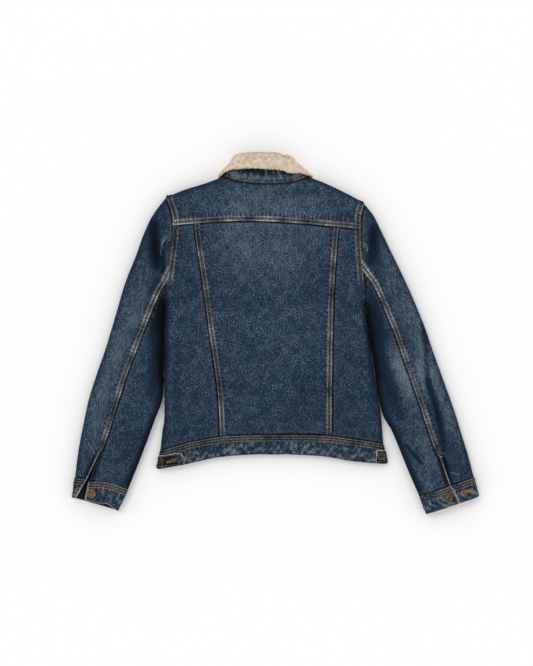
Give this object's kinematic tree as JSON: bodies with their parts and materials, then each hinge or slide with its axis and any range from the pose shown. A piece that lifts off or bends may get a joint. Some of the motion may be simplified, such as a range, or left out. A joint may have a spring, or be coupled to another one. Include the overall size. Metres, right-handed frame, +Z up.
{
  "type": "sherpa lined denim jacket laid flat",
  "caption": "Denim jacket with a sherpa collar, laid flat on its front with the back up: yoke, seamed back, two-piece sleeves with open cuffs, hem band with side tabs.",
  "frame": {"origin": "middle of the bounding box on the surface that the jacket lies on", "axes": "+Z up, away from the surface; +X towards the wearer's right sleeve; +Y from the hem to the collar"},
  "size_m": [0.7733, 0.6862, 0.0394],
  "materials": {
    "denim": "indigo twill, stone washed, worn light at the seams",
    "sherpa": "cream knitted pile, matted into short curls",
    "brass": "aged, lightly polished on the rims",
    "dark_metal": "blackened tack buttons, worn on the rims"
  },
  "bodies": {
    "root": {"back_panel_centre": "denim", "back_panel_left": "denim", "back_panel_right": "denim", "back_yoke": "denim", "collar_sherpa": "sherpa", "collar_under": "denim", "cuff_button_left": "brass", "cuff_button_right": "brass", "cuff_left": "denim", "cuff_right": "denim", "front_button_1": "brass", "front_button_2": "brass", "front_button_3": "brass", "front_button_4": "brass", "front_button_5": "brass", "front_button_6": "brass", "front_button_7": "brass", "front_panel_high_left": "denim", "front_panel_high_right": "denim", "front_panel_low_left": "denim", "front_panel_low_right": "denim", "front_yoke_left": "denim", "front_yoke_right": "denim", "hem_band_back": "denim", "hem_band_front_left": "denim", "hem_band_front_right": "denim", "hem_button_left_1": "dark_metal", "hem_button_left_2": "dark_metal", "hem_button_right_1": "dark_metal", "hem_button_right_2": "dark_metal", "hem_tab_left": "denim", "hem_tab_right": "denim", "placket_left": "denim", "placket_right": "denim", "sleeve_left_under": "denim", "sleeve_left_upper_high": "denim", "sleeve_left_upper_low": "denim", "sleeve_right_under": "denim", "sleeve_right_upper_high": "denim", "sleeve_right_upper_low": "denim"}
  },
  "joints": []
}
